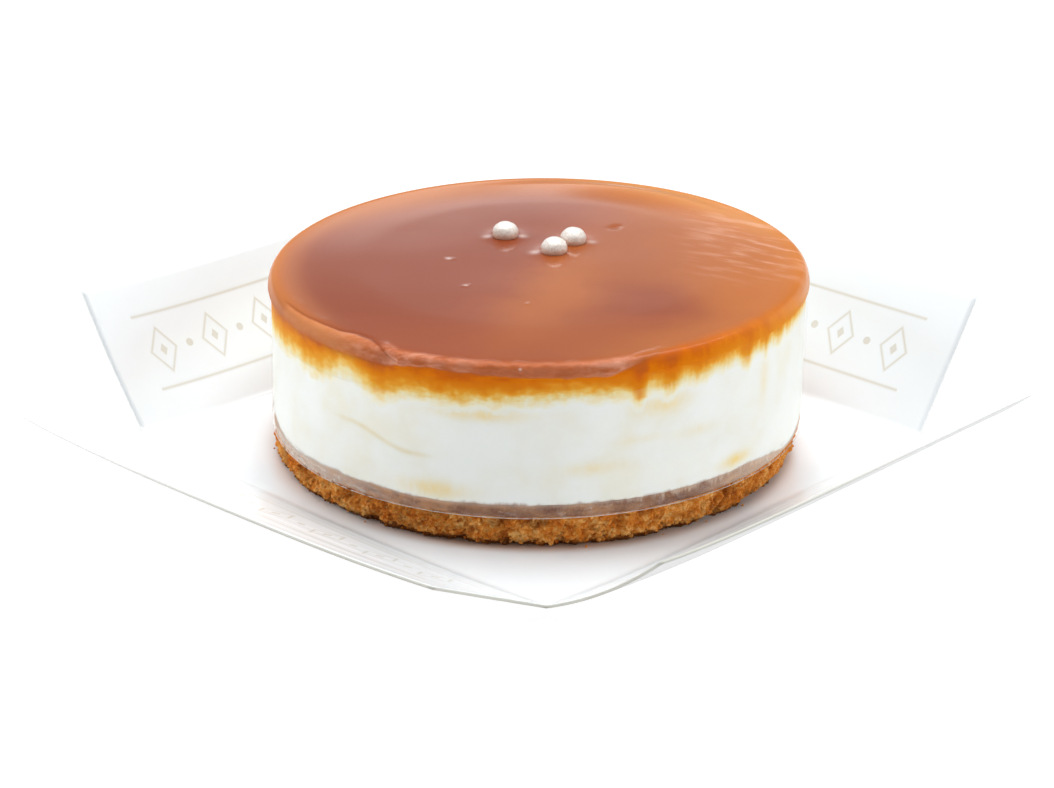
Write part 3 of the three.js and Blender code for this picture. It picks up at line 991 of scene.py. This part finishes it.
def cardMaterial():
    shader = Shader("whiteCard")
    spot = shader.cakeSpot()
    u, v = shader.parts(shader.node("UVMap", {"uv_map": "blank"}), "XY")
    u, v = u.call("ABSOLUTE") * 100, v.call("ABSOLUTE") * 100
    far, along = u.call("MAXIMUM", v), u.call("MINIMUM", v)
    half = traySetup["side"] / 2
    body = shader.colour(shader.noise(spot, 0.06), srgb(243, 247, 249), srgb(240, 243, 245))
    # painted shade: a thin grey line along each crease
    body = shader.colour(far.hump(half, 0.3) * 0.2, body, srgb(180, 178, 174))
    # a border of diamonds and dots between two rules, printed faintly on each flap
    out = far - half
    repeat, middle, end = traySetup["repeat"], traySetup["middle"], traySetup["borderEnd"]
    cell = ((along / repeat + 0.5).call("FRACT") - 0.5).call("ABSOLUTE") * repeat
    diamond = cell / 3.4 + (out - middle).call("ABSOLUTE") / 5
    dots = ((cell - repeat / 2) ** 2 + (out - middle) ** 2).call("SQRT")
    ink = diamond.hump(0.9, 0.09) + (1 - diamond.above(0.2, 0.3)) + (1 - dots.above(0.7, 0.9))
    for rule in traySetup["rules"]:
        ink = ink + out.hump(rule, 0.3)
    ink = ink.call("MINIMUM", 1) * (1 - along.above(end, end + 0.2)) * out.above(1, 1.2)
    body = shader.colour(ink * 0.75, body, srgb(212, 207, 192))
    # painted brown shade on the card round the crust's foot: its contact shadow and reflection
    x, y = shader.parts(spot, "XY")
    shifted = x - crustSetup["footShift"]
    foot = (shifted * shifted + y * y).call("SQRT")
    stain = (1 - foot.above(47.8, 51.5)) * (0.75 - 0.5 * x.call("ABSOLUTE").above(10, 40))
    body = shader.colour(stain, body, srgb(190, 140, 100))
    # faint ridges along the creases of the front flaps
    ridges = shader.noise(shader.node("CombineXYZ", {}, (along * 0.02, far, 0)), 0.35, 3, 0.55)
    ridges = ridges * out.above(0, 2) * (1 - y.above(-42, -20))
    surface = shader.principled({
        "Base Color": body, "Roughness": 0.16, "IOR": 1.48,
        "Normal": shader.bump(ridges, 0.0006, 0.4),
    })
    return shader.finish(surface)


def cutCardMaterial():  # the cut edges, a little greyer at the front with painted shade
    shader = Shader("cutCard")
    [y] = shader.parts(shader.cakeSpot(), "Y")
    body = shader.ramp(y.above(-80, -8), [
        (0.0, srgb(204, 202, 192)), (0.35, srgb(226, 224, 218)),
        (0.75, srgb(248, 247, 245)), (1.0, srgb(253, 253, 252)),
    ])
    return shader.finish(shader.principled({"Base Color": body, "Roughness": 0.8}))


# the underside, greyer than the top: partly its own grey board, partly painted shade
def backCardMaterial():
    shader = Shader("cardBack")
    mottle = shader.noise(shader.cakeSpot(), 0.9)
    body = shader.colour(mottle, srgb(228, 228, 227), srgb(221, 221, 220))
    return shader.finish(shader.principled({"Base Color": body, "Roughness": 0.8}))


def makeFloor():
    shader = Shader("studioFloor")
    spot = shader.node("TexCoord", {}, (), 3)
    body = shader.colour(shader.noise(spot, 3), (0.24, 0.24, 0.24), (0.26, 0.26, 0.26))
    surface = shader.principled({
        "Base Color": body, "Roughness": 0.9, "Specular IOR Level": 0.1,
        "Emission Color": (1, 1, 1, 1), "Emission Strength": 0.82,
    })
    bm = bmesh.new()
    bmesh.ops.create_grid(bm, x_segments=1, y_segments=1, size=4)
    bmesh.ops.translate(bm, vec=(0, 0, -0.0002), verts=bm.verts)
    mesh = bpy.data.meshes.new("studioFloor")
    bm.to_mesh(mesh)
    bm.free()
    mesh.materials.append(shader.finish(surface))
    floor = bpy.data.objects.new("studioFloor", mesh)
    bpy.context.scene.collection.objects.link(floor)


lightSetup = {
    # strengths round the cake and in front of it, and of the strip behind it
    "around": 0.38, "front": 0.32, "strip": 1.65,
    "stripEdges": (0.27, 0.312, 0.312, 0.362),  # how high it starts, is full, fades and ends
    "stripPlace": (-0.03, 0.095),  # how far to the right, and its half width
    "colour": (0.955, 0.98, 1),
    # name, place in metres, size and power
    "lamps": [
        ("overhead", (-0.1, 0.15, 0.7), 0.6, 6.3),
        ("leftBox", (-0.5, -0.45, 0.4), 0.4, 2.15),
        ("rightBox", (0.7, 0.35, 0.4), 0.4, 2.1),
    ],
}


def lightStudio():  # soft light all round, with a bright strip low down behind the cake
    shader = Shader("studio", "world")
    bpy.context.scene.world = shader.holder
    direction = shader.node("TexCoord", {}, (), 0)
    turn = cameraSetup["azimuth"] * degree
    behind = (-math.sin(turn), math.cos(turn), 0)
    facing = shader.dot(direction, behind)
    right = shader.dot(direction, (behind[1], -behind[0], 0))
    [up] = shader.parts(direction, "Z")
    low, full, fade, high = lightSetup["stripEdges"]
    strip = up.above(low, full) * (1 - up.above(fade, high)) * facing.above(0.2, 0.7)
    strip = strip * right.hump(*lightSetup["stripPlace"]) * lightSetup["strip"]
    front = lightSetup["front"]
    strength = front + (lightSetup["around"] - front) * facing.above(-0.6, 0.4) + strip
    background = shader.node("Background", {}, ((*lightSetup["colour"], 1), strength))
    shader.finish(background, "World")
    for name, place, size, power in lightSetup["lamps"]:
        data = bpy.data.lights.new(name, "AREA")
        data.size, data.energy, data.color = size, power, lightSetup["colour"]
        lamp = bpy.data.objects.new(name, data)
        bpy.context.scene.collection.objects.link(lamp)
        lamp.location = place
        lamp.visible_glossy = name == "overhead"  # the side boxes only fill
        aim = Vector(place) - Vector((0, 0, 0.02))
        lamp.rotation_euler = aim.to_track_quat("Z", "Y").to_euler()


bpy.context.scene.view_settings.view_transform = "Standard"
addCamera()
lightStudio()
makeFloor()
print("studio ready")

crumbLook = crustMaterial()
crust = makeCrust(crumbLook)
crumbs = makeCrumbs(crumbLook)
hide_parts("biscuit_crust")
print("crust ready")

cream = makeCream()
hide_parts("cream_layer")
print("cream ready")

caramel = makeCaramel()
pearlPiece = makePearls()
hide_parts("caramel_topping")
print("caramel and pearls ready")

film = makeFilm()
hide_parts("film_collar")
print("film ready")

tray = makeTray()
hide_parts("card_tray")
print("tray ready")
